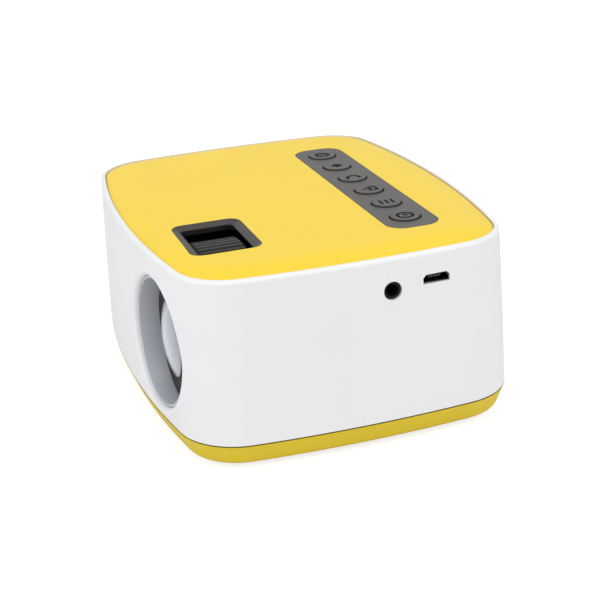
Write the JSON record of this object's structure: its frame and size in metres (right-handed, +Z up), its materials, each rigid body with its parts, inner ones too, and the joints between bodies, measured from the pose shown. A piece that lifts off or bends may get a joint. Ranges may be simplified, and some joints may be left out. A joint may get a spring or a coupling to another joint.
{
  "type": "mini projector",
  "caption": "Small box-shaped LED projector with a recessed lens, a thumb focus wheel in a top window, a row of top keys and a tray base.",
  "frame": {"origin": "under the middle of the case, on the surface that the rubber feet stand on", "axes": "+Z up, the lens looks along -Y, the power and sound sockets face +X"},
  "size_m": [0.1366, 0.1068, 0.0573],
  "materials": {
    "white_shell": "satin moulded plastic",
    "yellow_shell": "satin moulded plastic",
    "yellow_tray": "satin moulded plastic",
    "grey_trim": "fine matt moulded plastic",
    "key_plastic": "fine matt moulded plastic",
    "funnel": "silver-grey satin plastic",
    "black_plastic": "matt black moulded plastic",
    "ring_plastic": "matt black moulded plastic, ribbed",
    "lens_glass": "polished",
    "optic_glass": "polished",
    "mirror_glass": "front-silvered glass",
    "steel": "plated steel",
    "aluminium": "extruded aluminium",
    "board": "lacquered circuit board",
    "rubber": "matt rubber",
    "brass": "turned brass",
    "socket_plastic": "black moulded plastic"
  },
  "bodies": {
    "case": {"main_housing": "white_shell", "bottom_tray": "yellow_tray", "top_panel": "yellow_shell", "focus_window_frame": "grey_trim", "keypad_strip": "key_plastic", "lens_hood": "funnel", "lens_holder": "black_plastic", "ring_clip": "steel", "engine_case": "black_plastic", "engine_cover": "black_plastic", "fold_mirror": "mirror_glass", "condenser_lens": "optic_glass", "heat_glass": "optic_glass", "rear_fresnel": "optic_glass", "lcd_panel": "optic_glass", "front_fresnel": "optic_glass", "led_module": "aluminium", "heatsink": "aluminium", "fan_frame": "black_plastic", "main_board": "board", "tact_switches": "steel", "audio_jack": "socket_plastic", "av_jack": "socket_plastic", "micro_usb_socket": "steel", "hdmi_socket": "steel", "host_usb_socket": "steel", "receiver_window": "socket_plastic", "rubber_feet": "rubber", "case_screws": "steel", "board_screws": "steel", "cover_screws": "steel", "flange_screws": "steel", "fan_screws": "steel", "tripod_bush": "brass", "speaker": "black_plastic"},
    "focus_ring": {"focus_ring": "ring_plastic"},
    "lens_barrel": {"lens_barrel": "black_plastic", "drive_pins": "steel", "front_glass": "lens_glass", "middle_glass": "lens_glass", "rear_glass": "lens_glass", "front_spacer": "black_plastic", "rear_spacer": "black_plastic", "lens_retainer": "black_plastic"},
    "fan_rotor": {"fan_rotor": "black_plastic"},
    "key_power": {"key_power": "key_plastic"},
    "key_menu": {"key_menu": "key_plastic"},
    "key_source": {"key_source": "key_plastic"},
    "key_back": {"key_back": "key_plastic"},
    "key_plus": {"key_plus": "key_plastic"},
    "key_minus": {"key_minus": "key_plastic"}
  },
  "joints": [
    {"name": "focus_ring_turn", "type": "hinge", "parent": "case", "child": "focus_ring", "pos_m": [0.0333, -0.0299, 0.029], "axis": [0, 1, 0], "range_deg": [-60.2, 60.2]},
    {"name": "lens_slide", "type": "slide", "parent": "case", "child": "lens_barrel", "axis": [0, -1, 0], "range_m": [-0.0025, 0.0025]},
    {"name": "fan_spin", "type": "hinge", "parent": "case", "child": "fan_rotor", "pos_m": [-0.056, 0.012, 0.029], "axis": [1, 0, 0], "continuous": true},
    {"name": "key_power_press", "type": "slide", "parent": "case", "child": "key_power", "axis": [0, 0, -1], "range_m": [0, 0.0005], "stiffness_N_per_m": 400, "springref_m": -0.001},
    {"name": "key_menu_press", "type": "slide", "parent": "case", "child": "key_menu", "axis": [0, 0, -1], "range_m": [0, 0.0005], "stiffness_N_per_m": 400, "springref_m": -0.001},
    {"name": "key_source_press", "type": "slide", "parent": "case", "child": "key_source", "axis": [0, 0, -1], "range_m": [0, 0.0005], "stiffness_N_per_m": 400, "springref_m": -0.001},
    {"name": "key_back_press", "type": "slide", "parent": "case", "child": "key_back", "axis": [0, 0, -1], "range_m": [0, 0.0005], "stiffness_N_per_m": 400, "springref_m": -0.001},
    {"name": "key_plus_press", "type": "slide", "parent": "case", "child": "key_plus", "axis": [0, 0, -1], "range_m": [0, 0.0005], "stiffness_N_per_m": 400, "springref_m": -0.001},
    {"name": "key_minus_press", "type": "slide", "parent": "case", "child": "key_minus", "axis": [0, 0, -1], "range_m": [0, 0.0005], "stiffness_N_per_m": 400, "springref_m": -0.001}
  ],
  "couplings": [
    {"joint": "focus_ring_turn", "follows": "lens_slide", "rad_per_m": 418.88}
  ]
}
